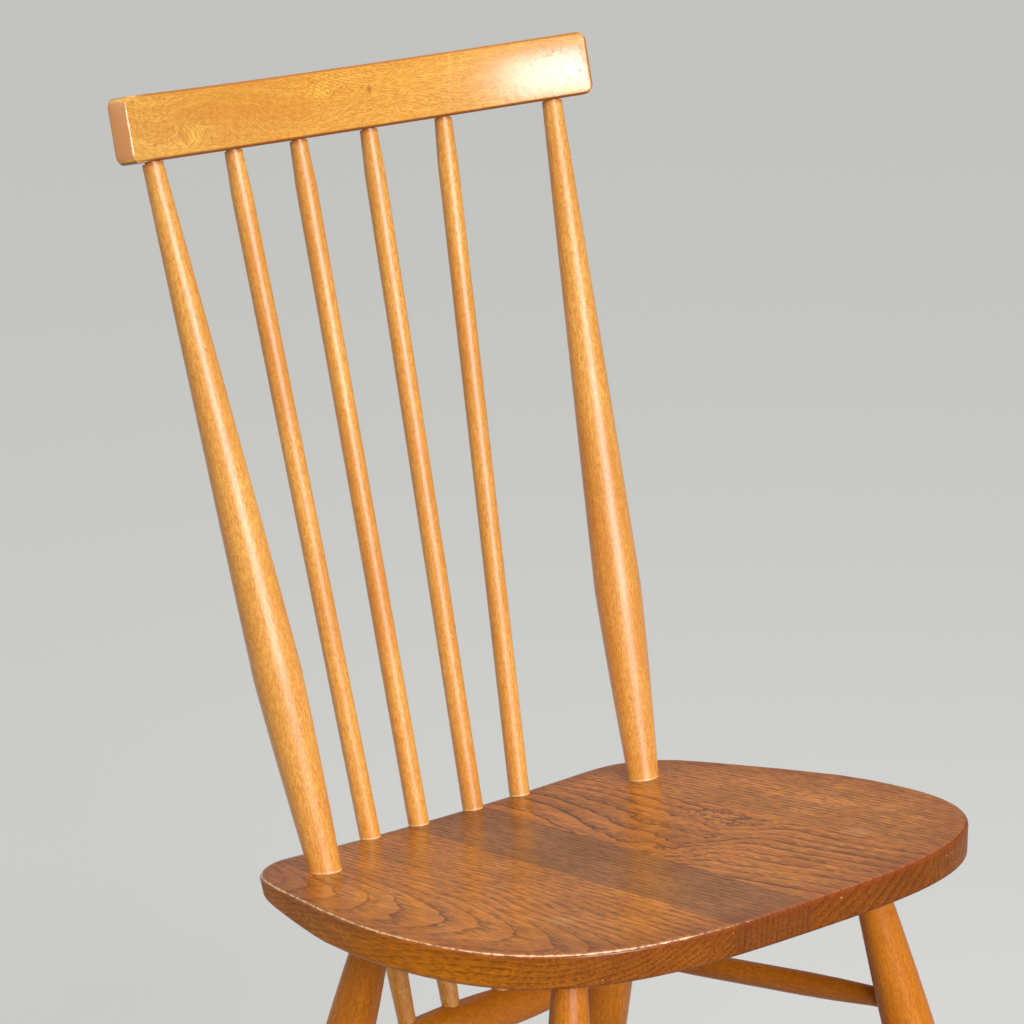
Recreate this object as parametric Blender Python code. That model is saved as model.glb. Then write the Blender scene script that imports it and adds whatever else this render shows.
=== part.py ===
"""Stick back dining chair: a glued frame of turned sticks round a boarded seat.

Metres, +Z up, front towards -Y. The chair is laid out from one reference point, where
the line of the thin back sticks meets the top of the seat, and is centred at the end so
that the origin lies on the floor in the middle of its bounding box.
"""

import math

import bmesh
import bpy
from mathutils import Matrix, Vector

# Fits shared by all joints
clearance = 0.0003          # gap left round every glued joint
cutter_overrun = 0.020      # how far a cutting tool runs past the face that it enters

# Seat
seat_height = 0.420         # top of the seat at the back stick line
seat_slope = math.radians(3.2)
seat_front = 0.358          # from the back stick line to the front edge
seat_back = 0.012           # from the back stick line to the back edge
seat_front_half_width = 0.205
seat_back_half_width = 0.184
seat_narrow_from = 0.200    # in front of the stick line: the full width ends here
seat_narrow_to = 0.040      # in front of the stick line: the narrow width starts here
seat_thickness = 0.021      # at the middle of the seat
seat_dish = 0.0065          # rise of the sides over the middle
seat_front_rim = 0.0205     # height of the edge in the middle of the front
seat_back_rim = 0.012       # height of the edge at the back
seat_side_rim_extra = 0.0025       # added to that height at the sides
seat_full_rim_from = 0.140  # in front of the stick line: the edge reaches its full height
seat_rim_round = 0.003      # rounding of the upper rim
seat_under_chamfer = 0.022  # width of the slope under the rim
seat_back_roll = 0.016      # length of the rounding down to the back edge
seat_back_drop = 0.005      # depth of that rounding
seat_front_corner_power = 3.5
seat_back_corner_power = 5.0
seat_outline_points = 72
seat_ring_shares = (0.93, 0.80, 0.62, 0.42, 0.20)

# Glue joints between the seat boards: x at the back edge and x at the front edge
left_joint = (-0.032, -0.059)
middle_joint = (0.030, 0.001)
right_joint = (0.112, 0.112)

# Crest rail
crest_length = 0.379
crest_height = 0.0424
crest_thickness = 0.0146
crest_bow = 0.0417          # how far the ends stand forward of the middle
crest_rake = math.radians(9.45)
crest_set_back = 0.0768     # middle of the rail behind the back stick line
crest_rise = 0.455          # underside of the rail over the seat at the stick line
crest_corner_radius = 0.0065
crest_edge_round = 0.0018
crest_columns = 26
crest_corner_steps = 4

# Outer back posts
post_base_x = 0.1344
post_base_forward = 0.0473  # in front of the back stick line
post_crest_x = 0.1629
post_base_diameter = 0.0214
post_swell_diameter = 0.0318
post_top_diameter = 0.0136
post_swell_share = 0.28     # of the length between seat and crest rail
post_seat_depth = 0.015
post_tenon_diameter = 0.0098
post_taper_power = 1.08     # above 1 the taper starts gently at the swell

# Thin back sticks
inner_stick_x = (0.0230, 0.0288)   # at the seat and at the crest rail
outer_stick_x = (0.0635, 0.0859)
stick_diameter = 0.0141
stick_top_diameter = 0.0117
stick_foot_diameter = 0.0125
stick_taper_length = 0.030
stick_tenon_diameter = 0.0090
crest_tenon_length = 0.022

# Legs
leg_top_diameter = 0.0206
leg_swell_diameter = 0.0345
leg_foot_diameter = 0.0215
leg_swell_below_seat = 0.130
leg_seat_depth = 0.014
leg_neck = 0.005            # straight length left under the seat
leg_taper_power = 1.15
swell_rounding_share = 0.4  # of a swelling taper that rounds over into its full width
front_leg_x = 0.122
front_leg_forward = 0.277   # in front of the back stick line
front_leg_outward = math.radians(10.2)
front_leg_forward_lean = math.radians(7.4)
back_leg_x = 0.1025
back_leg_forward = 0.0639
back_leg_outward = math.radians(5.8)
back_leg_backward_lean = math.radians(19.3)

# Stretchers and the rail that carries the feet of the thin sticks
side_stretcher_front_height = 0.322
side_stretcher_back_height = 0.304
front_stretcher_height = 0.300
stretcher_end_diameter = 0.0130
stretcher_diameter = 0.0160
stretcher_short_of_axis = 0.002    # wood left between a stretcher's end and the leg's axis
stretcher_taper_length = 0.060
stretcher_shoulder_share = 0.7     # of the widening, reached halfway along the taper
stick_rail_height = 0.2840
stick_rail_end_diameter = 0.0140
stick_rail_diameter = 0.0285
stick_rail_belly_power = 0.8       # below 1 the rail is fuller towards its ends
straight_end_margin = 0.006        # straight length of an end outside the widest leg

turned_segments = 24
thin_segments = 20

BEECH = (0.68, 0.32, 0.09, 1.0)
ELM = (0.42, 0.17, 0.06, 1.0)


# Scene and materials
def clear_scene():
    for item in list(bpy.data.objects):
        bpy.data.objects.remove(item, do_unlink=True)


def lacquered(name, colour):
    material = bpy.data.materials.new(name)
    material.use_nodes = True
    shader = material.node_tree.nodes["Principled BSDF"]
    shader.inputs["Base Color"].default_value = colour
    shader.inputs["Roughness"].default_value = 0.35
    shader.inputs["Metallic"].default_value = 0.0
    return material


def add_object(name, mesh, matrix=None, colour=BEECH):
    item = bpy.data.objects.new(name, mesh)
    bpy.context.scene.collection.objects.link(item)
    if matrix is not None:
        item.matrix_world = matrix
    mesh.materials.append(lacquered(name + "_finish", colour))
    mesh.shade_smooth()
    mesh.set_sharp_from_angle(angle=math.radians(35))
    return item


def add_cutter(name, mesh, matrix=None):
    item = add_object(name, mesh, matrix)
    item.hide_render = True
    item.display_type = "WIRE"
    return item


def cut(item, cutter):
    boolean = item.modifiers.new("cut_" + cutter.name, "BOOLEAN")
    boolean.operation = "DIFFERENCE"
    boolean.solver = "EXACT"
    boolean.object = cutter


def mesh_from(bm, name):
    bmesh.ops.recalc_face_normals(bm, faces=bm.faces)
    mesh = bpy.data.meshes.new(name)
    bm.to_mesh(mesh)
    bm.free()
    return mesh


# Turned pieces
def along(start, direction):
    """Placement with +Z along a direction and its origin at a point."""
    turn = Vector((0.0, 0.0, 1.0)).rotation_difference(direction.normalized())
    return Matrix.Translation(start) @ turn.to_matrix().to_4x4()


def spun(profile, segments):
    """Closed solid of revolution about Z from (height, radius) pairs, bottom to top."""
    bm = bmesh.new()
    outline = [(profile[0][0], 0.0)] + list(profile) + [(profile[-1][0], 0.0)]
    verts = [bm.verts.new((radius, 0.0, height)) for height, radius in outline]
    edges = [bm.edges.new(pair) for pair in zip(verts, verts[1:])]
    bmesh.ops.spin(bm, geom=verts + edges, cent=(0.0, 0.0, 0.0), axis=(0.0, 0.0, 1.0),
                   angle=math.tau, steps=segments, use_merge=True)
    bmesh.ops.remove_doubles(bm, verts=bm.verts, dist=clearance / turned_segments)
    return bm


def turned(name, start, direction, profile, segments=turned_segments):
    return add_object(name, mesh_from(spun(profile, segments), name), along(start, direction))


def bore_mesh(name, start, end, diameter, segments):
    """Cylinder between two points, in place, for a cutter."""
    axis = end - start
    bm = spun([(0.0, diameter / 2), (axis.length, diameter / 2)], segments)
    bmesh.ops.transform(bm, matrix=along(start, axis), verts=bm.verts)
    return mesh_from(bm, name)


def joined(name, meshes):
    bm = bmesh.new()
    for mesh in meshes:
        bm.from_mesh(mesh)
    whole = bpy.data.meshes.new(name)
    bm.to_mesh(whole)
    bm.free()
    return whole


def eased(start, end, share):
    """Smooth step from one size to another."""
    share = min(max(share, 0.0), 1.0)
    return start + (end - start) * share * share * (3 - 2 * share)


# Seat shape
def seat_plane(y):
    return seat_height - y * math.tan(seat_slope)


def seat_top(x, y):
    rise = seat_dish * (x / seat_front_half_width) ** 2
    rolled = max(0.0, (y + seat_back_roll - seat_back) / seat_back_roll)
    return seat_plane(y) + rise - seat_back_drop * rolled ** 2


def seat_under(y):
    return seat_plane(y) - seat_thickness


def seat_half_width(y):
    share = (-y - seat_narrow_to) / (seat_narrow_from - seat_narrow_to)
    return eased(seat_back_half_width, seat_front_half_width, share)


def seat_outline(inset):
    """Plan of the seat, drawn in by an inset, as (x, y) points counterclockwise."""
    depth = (seat_front + seat_back) / 2
    middle = (seat_back - seat_front) / 2
    points = []
    for index in range(seat_outline_points):
        angle = math.tau * index / seat_outline_points
        across, back = math.cos(angle), math.sin(angle)
        power = 2 / (seat_back_corner_power if back > 0 else seat_front_corner_power)
        y = middle + (depth - inset) * math.copysign(abs(back) ** power, back)
        half = seat_half_width(y) - inset
        points.append((half * math.copysign(abs(across) ** power, across), y))
    return points


def seat_ring_at_share(share):
    middle = (seat_back - seat_front) / 2
    shrunk = [(share * x, middle + share * (y - middle)) for x, y in seat_outline(seat_rim_round)]
    return [(x, y, seat_top(x, y)) for x, y in shrunk]


def rim_height(x, y):
    extra = seat_side_rim_extra * (x / seat_front_half_width) ** 2
    return eased(seat_back_rim, seat_front_rim, -y / seat_full_rim_from) + extra


def seat_rings():
    """Closed rings from the middle of the top, over the rim, to the underside."""
    rings = [seat_ring_at_share(share) for share in reversed(seat_ring_shares)]
    inner = seat_outline(seat_rim_round)
    shoulder = seat_outline(seat_rim_round / 3)
    outer = seat_outline(0.0)
    rings.append([(x, y, seat_top(x, y)) for x, y in inner])
    rings.append([(x, y, seat_top(x, y) - seat_rim_round / 4) for x, y in shoulder])
    rings.append([(x, y, seat_top(x, y) - seat_rim_round) for x, y in outer])
    rings.append([(x, y, seat_top(x, y) - rim_height(x, y) + seat_rim_round) for x, y in shoulder])
    rings.append([(x, y, seat_top(x, y) - rim_height(x, y)) for x, y in inner])
    chamfer = seat_outline(seat_under_chamfer)
    rings.append([(x, y, seat_under(y)) for x, y in chamfer])
    return rings


def seat_blank():
    bm = bmesh.new()
    loops = [[bm.verts.new(point) for point in ring] for ring in seat_rings()]
    count = seat_outline_points
    for upper, lower in zip(loops, loops[1:]):
        for index in range(count):
            after = (index + 1) % count
            bm.faces.new((upper[index], upper[after], lower[after], lower[index]))
    middle_y = (seat_back - seat_front) / 2
    centre = bm.verts.new((0.0, middle_y, seat_top(0.0, middle_y)))
    for index in range(count):
        bm.faces.new((loops[0][index], centre, loops[0][(index + 1) % count]))
    bm.faces.new(loops[-1])
    bmesh.ops.recalc_face_normals(bm, faces=bm.faces)
    return bm


def keep_side(bm, joint, side):
    """Cut along a glue joint and keep the side towards +X (1) or -X (-1)."""
    back = Vector((joint[0] + side * clearance / 2, seat_back, 0.0))
    front = Vector((joint[1] + side * clearance / 2, -seat_front, 0.0))
    run = back - front
    normal = Vector((run.y, -run.x, 0.0)) * side
    geometry = bm.verts[:] + bm.edges[:] + bm.faces[:]
    cut_edges = bmesh.ops.bisect_plane(bm, geom=geometry, plane_co=front, plane_no=normal,
                                       clear_inner=True)["geom_cut"]
    open_edges = [item for item in cut_edges if isinstance(item, bmesh.types.BMEdge)]
    bmesh.ops.contextual_create(bm, geom=open_edges)


def seat_boards(sockets):
    boards = (("seat_board_left", None, left_joint),
              ("seat_board_centre_left", left_joint, middle_joint),
              ("seat_board_centre_right", middle_joint, right_joint),
              ("seat_board_right", right_joint, None))
    made = []
    for name, from_joint, to_joint in boards:
        bm = seat_blank()
        if from_joint is not None:
            keep_side(bm, from_joint, 1)
        if to_joint is not None:
            keep_side(bm, to_joint, -1)
        board = add_object(name, mesh_from(bm, name), colour=ELM)
        cut(board, sockets)
        made.append(board)
    return made


# Crest rail shape
crest_up = Vector((0.0, math.sin(crest_rake), math.cos(crest_rake)))
crest_forward = Vector((0.0, -math.cos(crest_rake), math.sin(crest_rake)))


def crest_point(x, height, forward):
    """Point of the bowed rail: x along it, height over its underside, forward of its middle."""
    half = crest_length / 2
    bow = crest_bow * (x / half) ** 2
    slope = 2 * crest_bow * x / half ** 2
    outward = (Vector((-slope, 0.0, 0.0)) + crest_forward).normalized()
    foot = Vector((x, crest_set_back, seat_height + crest_rise))
    return foot + crest_forward * bow + crest_up * height + outward * forward


def crest_corner(right, upper):
    """Points round one corner of the rail, from its long edge to its end, as (x, height)."""
    half = crest_length / 2
    points = []
    for step in range(1, crest_corner_steps + 1):
        angle = math.pi / 2 * step / crest_corner_steps
        x = half - crest_corner_radius * (1 - math.sin(angle))
        height = crest_corner_radius * (1 - math.cos(angle))
        points.append((x if right else -x, crest_height - height if upper else height))
    return points


def crest_side(bm, forward):
    """One broad face of the rail; returns its rim as a closed ring of vertices."""
    inner = crest_length / 2 - crest_corner_radius
    lower, upper = [], []
    for index in range(crest_columns + 1):
        x = -inner + 2 * inner * index / crest_columns
        lower.append(bm.verts.new(crest_point(x, 0.0, forward)))
        upper.append(bm.verts.new(crest_point(x, crest_height, forward)))
    for index in range(crest_columns):
        bm.faces.new((lower[index], lower[index + 1], upper[index + 1], upper[index]))
    ends = []
    for right in (True, False):
        outline = crest_corner(right, False) + crest_corner(right, True)[::-1]
        ends.append([bm.verts.new(crest_point(x, height, forward)) for x, height in outline])
    right_end, left_end = ends
    bm.faces.new([lower[-1]] + right_end + [upper[-1]])
    bm.faces.new([lower[0]] + left_end + [upper[0]])
    return lower + right_end + upper[::-1] + left_end[::-1]


def crest_rail(sockets):
    bm = bmesh.new()
    front = crest_side(bm, crest_thickness / 2)
    back = crest_side(bm, -crest_thickness / 2)
    for index in range(len(front)):
        after = (index + 1) % len(front)
        bm.faces.new((front[index], front[after], back[after], back[index]))
    rail = add_object("crest_rail", mesh_from(bm, "crest_rail"))
    bevel = rail.modifiers.new("edge_round", "BEVEL")
    bevel.width = crest_edge_round
    bevel.segments = 2
    bevel.limit_method = "ANGLE"
    bevel.angle_limit = math.radians(50)
    cut(rail, sockets)
    return rail


# Lines that the sticks follow
def seat_point(x, y):
    return Vector((x, y, seat_top(x, y)))


def post_line(side):
    foot = seat_point(side * post_base_x, -post_base_forward)
    return foot, crest_point(side * post_crest_x, 0.0, 0.0)


def stick_line(side, positions):
    foot = seat_point(side * positions[0], 0.0)
    return foot, crest_point(side * positions[1], 0.0, 0.0)


def leg_line(side, x, y, outward, lean):
    """Point on the leg's axis at the underside of the seat, and its downward direction."""
    top = Vector((side * x, y, seat_under(y)))
    return top, Vector((side * math.tan(outward), math.tan(lean), -1.0))


def front_leg_line(side):
    return leg_line(side, front_leg_x, -front_leg_forward, front_leg_outward,
                    -front_leg_forward_lean)


def back_leg_line(side):
    return leg_line(side, back_leg_x, -back_leg_forward, back_leg_outward,
                    back_leg_backward_lean)


def at_height(line, height):
    """Point of a leg's axis at a height over the floor."""
    top, down = line
    return top + down * (top.z - height)


def leg_profile_radius(below, full):
    if below < leg_swell_below_seat:
        share = (below - leg_neck) / (leg_swell_below_seat - leg_neck)
        return (leg_top_diameter + (leg_swell_diameter - leg_top_diameter) * swelled(share)) / 2
    share = (below - leg_swell_below_seat) / (full - leg_swell_below_seat)
    taper = share ** leg_taper_power
    return (leg_swell_diameter + (leg_foot_diameter - leg_swell_diameter) * taper) / 2


def swelled(share):
    """Nearly straight taper that rounds over gently where it reaches full width."""
    share = min(max(share, 0.0), 1.0)
    rounded = math.sin(share * math.pi / 2)
    return swell_rounding_share * rounded + (1 - swell_rounding_share) * share


# Pieces
def leg(name, line):
    top, down = line
    full = top.z * down.length
    past_floor = full + leg_foot_diameter
    distances = [-leg_seat_depth + clearance, leg_neck]
    upper_steps, lower_steps = 6, 6
    distances += [leg_neck + (leg_swell_below_seat - leg_neck) * step / upper_steps
                  for step in range(1, upper_steps + 1)]
    distances += [leg_swell_below_seat + (full - leg_swell_below_seat) * step / lower_steps
                  for step in range(1, lower_steps)]
    profile = [(distance, leg_profile_radius(distance, full)) for distance in distances]
    profile.append((past_floor, leg_foot_diameter / 2))
    bm = spun(profile, turned_segments)
    place = along(top, down)
    back = place.inverted()
    floor_normal = back.to_3x3() @ Vector((0.0, 0.0, -1.0))
    geometry = bm.verts[:] + bm.edges[:] + bm.faces[:]
    opened = bmesh.ops.bisect_plane(bm, geom=geometry, plane_co=back @ Vector((0.0, 0.0, 0.0)),
                                    plane_no=floor_normal, clear_outer=True)["geom_cut"]
    rim = [item for item in opened if isinstance(item, bmesh.types.BMEdge)]
    bmesh.ops.contextual_create(bm, geom=rim)
    return add_object(name, mesh_from(bm, name), place)


def shoulder_gap(direction, radius):
    """Room under the crest rail for a shoulder that isn't quite square to it."""
    cosine = direction.normalized().dot(crest_up)
    return clearance + radius * math.tan(math.acos(min(cosine, 1.0)))


def back_post(name, side):
    foot, top = post_line(side)
    axis = top - foot
    shoulder = axis.length - shoulder_gap(axis, post_top_diameter / 2)
    swell = post_swell_share * axis.length
    profile = [(-post_seat_depth + clearance, post_base_diameter / 2),
               (seat_rim_round, post_base_diameter / 2)]
    swell_steps, taper_steps = 5, 6
    for step in range(1, swell_steps + 1):
        share = step / swell_steps
        width = post_base_diameter + (post_swell_diameter - post_base_diameter) * swelled(share)
        profile.append((seat_rim_round + (swell - seat_rim_round) * share, width / 2))
    for step in range(1, taper_steps + 1):
        share = step / taper_steps
        taper = share ** post_taper_power
        width = post_swell_diameter + (post_top_diameter - post_swell_diameter) * taper
        profile.append((swell + (shoulder - swell) * share, width / 2))
    profile.append((shoulder, post_tenon_diameter / 2))
    profile.append((axis.length + crest_tenon_length - clearance, post_tenon_diameter / 2))
    return turned(name, foot, axis, profile)


def stick_foot_distance(side, positions):
    """Distance along a thin stick, below the seat, to its end on the axis of its rail."""
    foot, top = stick_line(side, positions)
    axis = top - foot
    return (foot.z - stick_rail_height) / axis.normalized().z


def thin_stick(name, side, positions):
    foot, top = stick_line(side, positions)
    axis = top - foot
    shoulder = axis.length - shoulder_gap(axis, stick_top_diameter / 2)
    below = stick_foot_distance(side, positions)
    rail_top = stick_rail_diameter / 2
    profile = [(-below + clearance, stick_foot_diameter / 2),
               (-below + rail_top + stick_taper_length / 10, stick_foot_diameter / 2),
               (-below + rail_top + stick_taper_length, stick_diameter / 2),
               (shoulder - stick_taper_length, stick_diameter / 2),
               (shoulder, stick_top_diameter / 2),
               (shoulder, stick_tenon_diameter / 2),
               (axis.length + crest_tenon_length - clearance, stick_tenon_diameter / 2)]
    return turned(name, foot, axis, profile, thin_segments)


def stretcher_ends(start_line, start_height, end_line, end_height):
    """End points of a stretcher, short of the axes of the two legs that hold it."""
    start = at_height(start_line, start_height)
    end = at_height(end_line, end_height)
    inward = (end - start).normalized() * stretcher_short_of_axis
    return start + inward, end - inward


def stretcher(name, ends, straight):
    start, end = ends
    axis = end - start
    narrow, wide = stretcher_end_diameter / 2, stretcher_diameter / 2
    shoulder = narrow + (wide - narrow) * stretcher_shoulder_share
    near_end = [(0.0, narrow), (straight, narrow),
                (straight + stretcher_taper_length / 2, shoulder),
                (straight + stretcher_taper_length, wide)]
    far_end = [(axis.length - distance, radius) for distance, radius in reversed(near_end)]
    profile = near_end + far_end
    return turned(name, start, axis, profile, thin_segments)


def stick_rail(name, ends, straight, sockets):
    start, end = ends
    axis = end - start
    narrow, wide = stick_rail_end_diameter / 2, stick_rail_diameter / 2
    profile = [(0.0, narrow), (straight, narrow)]
    steps = 12
    for step in range(1, steps):
        share = step / steps
        width = narrow + (wide - narrow) * math.sin(math.pi * share) ** stick_rail_belly_power
        profile.append((straight + (axis.length - 2 * straight) * share, width))
    profile += [(axis.length - straight, narrow), (axis.length, narrow)]
    rail = turned(name, start, axis, profile)
    cut(rail, sockets)
    return rail


# Sockets
def stretcher_socket(name, ends, at_start, diameter):
    """Bore in a leg round one end of a stretcher, one clearance larger all round."""
    start, end = ends if at_start else (ends[1], ends[0])
    inward = (end - start).normalized()
    mouth = start + inward * (leg_swell_diameter + cutter_overrun)
    return bore_mesh(name, start - inward * clearance, mouth, diameter + 2 * clearance, thin_segments)


def seat_sockets():
    bores = []
    for side in (-1, 1):
        foot, top = post_line(side)
        up = (top - foot).normalized()
        bores.append(bore_mesh("bore", foot - up * post_seat_depth, foot + up * cutter_overrun,
                               post_base_diameter + 2 * clearance, turned_segments))
        for positions in (inner_stick_x, outer_stick_x):
            foot, top = stick_line(side, positions)
            up = (top - foot).normalized()
            through = seat_thickness + cutter_overrun
            bores.append(bore_mesh("bore", foot - up * through, foot + up * cutter_overrun,
                                   stick_diameter + 2 * clearance, thin_segments))
        for line in (front_leg_line(side), back_leg_line(side)):
            under, down = line
            down = down.normalized()
            bores.append(bore_mesh("bore", under - down * leg_seat_depth,
                                   under + down * cutter_overrun,
                                   leg_top_diameter + 2 * clearance, turned_segments))
    return add_cutter("seat_socket_cutter", joined("seat_sockets", bores))


def crest_sockets():
    bores = []
    for side in (-1, 1):
        lines = ((post_line(side), post_tenon_diameter),
                 (stick_line(side, inner_stick_x), stick_tenon_diameter),
                 (stick_line(side, outer_stick_x), stick_tenon_diameter))
        for (foot, top), diameter in lines:
            up = (top - foot).normalized()
            bores.append(bore_mesh("bore", top - up * cutter_overrun, top + up * crest_tenon_length,
                                   diameter + 2 * clearance, thin_segments))
    return add_cutter("crest_socket_cutter", joined("crest_sockets", bores))


def stick_rail_sockets():
    bores = []
    for side in (-1, 1):
        for positions in (inner_stick_x, outer_stick_x):
            foot, top = stick_line(side, positions)
            up = (top - foot).normalized()
            end = foot - up * stick_foot_distance(side, positions)
            mouth = end + up * (stick_rail_diameter / 2 + cutter_overrun)
            bores.append(bore_mesh("bore", end, mouth, stick_foot_diameter + 2 * clearance,
                                   thin_segments))
    return add_cutter("stick_rail_socket_cutter", joined("stick_rail_sockets", bores))


def leg_sockets(name, bores):
    return add_cutter(name, joined(name, bores))


def centre_over_floor(items):
    """Move the whole chair so that the origin is in the middle of its footprint."""
    points = [item.matrix_world @ vert.co for item in items for vert in item.data.vertices]
    middle_x = (min(p.x for p in points) + max(p.x for p in points)) / 2
    middle_y = (min(p.y for p in points) + max(p.y for p in points)) / 2
    shift = Matrix.Translation(Vector((-middle_x, -middle_y, 0.0)))
    for item in bpy.data.objects:
        item.matrix_world = shift @ item.matrix_world


def build():
    clear_scene()
    sides = (("left", -1), ("right", 1))
    solids = seat_boards(seat_sockets())
    solids.append(crest_rail(crest_sockets()))
    front_ends = stretcher_ends(front_leg_line(-1), front_stretcher_height,
                                front_leg_line(1), front_stretcher_height)
    rail_ends = stretcher_ends(back_leg_line(-1), stick_rail_height,
                               back_leg_line(1), stick_rail_height)
    for word, side in sides:
        solids.append(back_post("back_post_" + word, side))
        solids.append(thin_stick("inner_spindle_" + word, side, inner_stick_x))
        solids.append(thin_stick("outer_spindle_" + word, side, outer_stick_x))
        front_line, back_line = front_leg_line(side), back_leg_line(side)
        side_ends = stretcher_ends(front_line, side_stretcher_front_height,
                                   back_line, side_stretcher_back_height)
        straight = leg_swell_diameter / 2 + straight_end_margin
        solids.append(stretcher("side_stretcher_" + word, side_ends, straight))
        front_leg = leg("front_leg_" + word, front_line)
        back_leg = leg("back_leg_" + word, back_line)
        at_left = side < 0
        cut(front_leg, leg_sockets("front_leg_cutter_" + word, [
            stretcher_socket("bore", side_ends, True, stretcher_end_diameter),
            stretcher_socket("bore", front_ends, at_left, stretcher_end_diameter)]))
        cut(back_leg, leg_sockets("back_leg_cutter_" + word, [
            stretcher_socket("bore", side_ends, False, stretcher_end_diameter),
            stretcher_socket("bore", rail_ends, at_left, stick_rail_end_diameter)]))
        solids += [front_leg, back_leg]
    straight = leg_swell_diameter / 2 + straight_end_margin
    solids.append(stretcher("front_stretcher", front_ends, straight))
    solids.append(stick_rail("spindle_rail", rail_ends, straight, stick_rail_sockets()))
    centre_over_floor(solids)


build()
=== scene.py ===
"""Finished look of a spindle back chair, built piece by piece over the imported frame.

Metres, +Z up, front towards -Y. Sizes are the CAD part's own. Lines and outlines are worked
out from the back stick line, where the thin back sticks meet the top of the seat, and each
finished piece is then moved to its place over the floor.
"""

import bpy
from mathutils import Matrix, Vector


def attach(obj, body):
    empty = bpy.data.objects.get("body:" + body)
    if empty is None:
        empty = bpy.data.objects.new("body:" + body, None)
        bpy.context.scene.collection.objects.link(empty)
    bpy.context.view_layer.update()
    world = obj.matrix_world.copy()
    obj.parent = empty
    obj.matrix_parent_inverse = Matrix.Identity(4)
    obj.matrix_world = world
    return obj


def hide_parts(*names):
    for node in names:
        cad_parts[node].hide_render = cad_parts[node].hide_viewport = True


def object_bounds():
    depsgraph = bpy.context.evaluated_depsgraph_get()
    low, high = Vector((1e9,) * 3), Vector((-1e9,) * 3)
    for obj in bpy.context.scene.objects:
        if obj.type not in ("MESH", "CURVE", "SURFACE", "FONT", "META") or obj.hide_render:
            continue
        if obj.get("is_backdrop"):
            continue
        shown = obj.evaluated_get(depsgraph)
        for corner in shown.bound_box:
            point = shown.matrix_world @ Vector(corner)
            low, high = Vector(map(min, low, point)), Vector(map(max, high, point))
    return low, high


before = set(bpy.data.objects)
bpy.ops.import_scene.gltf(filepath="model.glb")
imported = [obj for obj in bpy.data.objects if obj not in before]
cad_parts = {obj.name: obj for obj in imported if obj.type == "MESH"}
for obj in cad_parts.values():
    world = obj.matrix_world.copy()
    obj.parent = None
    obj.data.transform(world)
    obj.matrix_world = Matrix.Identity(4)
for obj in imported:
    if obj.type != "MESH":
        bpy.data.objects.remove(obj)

import inspect
import math

import bmesh
import bpy
from bpy.props import FloatProperty, FloatVectorProperty, IntProperty, PointerProperty
from bpy.types import Operator, Panel, PropertyGroup
from mathutils import Matrix, Vector

bl_info = {
    "name": "Spindle Back Chair",
    "version": (1, 0, 0),
    "blender": (4, 5, 0),
    "location": "3D View > Sidebar > Chair",
    "description": "Models a stick back dining chair with a boarded seat and lights it",
    "category": "Object",
}

cad_low, cad_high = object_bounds()


# Settings
def length(name, default, description):
    return FloatProperty(name=name, default=default, description=description, min=0.0,
                         unit="LENGTH", precision=4)


def slant(name, degrees, description):
    return FloatProperty(name=name, default=math.radians(degrees), description=description,
                         unit="ROTATION")


def share(name, default, description):
    return FloatProperty(name=name, default=default, description=description)


def colour(name, default, description):
    return FloatVectorProperty(name=name, default=default, description=description,
                               subtype="COLOR", size=4, min=0.0, max=1.0)


class SeatSettings(PropertyGroup):
    height: length("Height", 0.420, "Top of the seat at the back stick line")
    slope: slant("Slope", 3.2, "Rise of the seat towards its front")
    front: length("Front", 0.358, "From the back stick line to the front edge")
    back: length("Back", 0.012, "From the back stick line to the back edge")
    front_half: length("Half width in front", 0.205, "Half the greatest width")
    back_half: length("Half width at the back", 0.184, "Half the width at the back")
    narrow_from: length("Full width ends", 0.200, "In front of the stick line")
    narrow_to: length("Narrow width starts", 0.040, "In front of the stick line")
    thickness: length("Thickness", 0.021, "At the middle of the seat")
    dish: length("Dish", 0.0065, "Rise of the sides over the middle")
    front_rim: length("Front rim", 0.0205, "Height of the edge in front")
    back_rim: length("Back rim", 0.012, "Height of the edge at the back")
    side_rim_extra: length("Side rim", 0.0025, "Added to the edge at the sides")
    full_rim_from: length("Full rim starts", 0.140, "In front of the stick line")
    rim_round: length("Rim rounding", 0.003, "Radius of the upper rim")
    under_chamfer: length("Under slope", 0.022, "Width of the slope under the rim")
    back_roll: length("Back roll", 0.016, "Length of the rounding down to the back edge")
    back_drop: length("Back drop", 0.005, "Depth of that rounding")
    front_power: share("Front corners", 3.5, "Squareness of the front corners")
    back_power: share("Back corners", 5.0, "Squareness of the back corners")
    joint_gap: length("Glue joint", 0.00008, "Width of the joint lines between the boards")
    outline_points: IntProperty(name="Outline points", default=192, min=24,
                                description="Points round the seat's outline")


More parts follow.
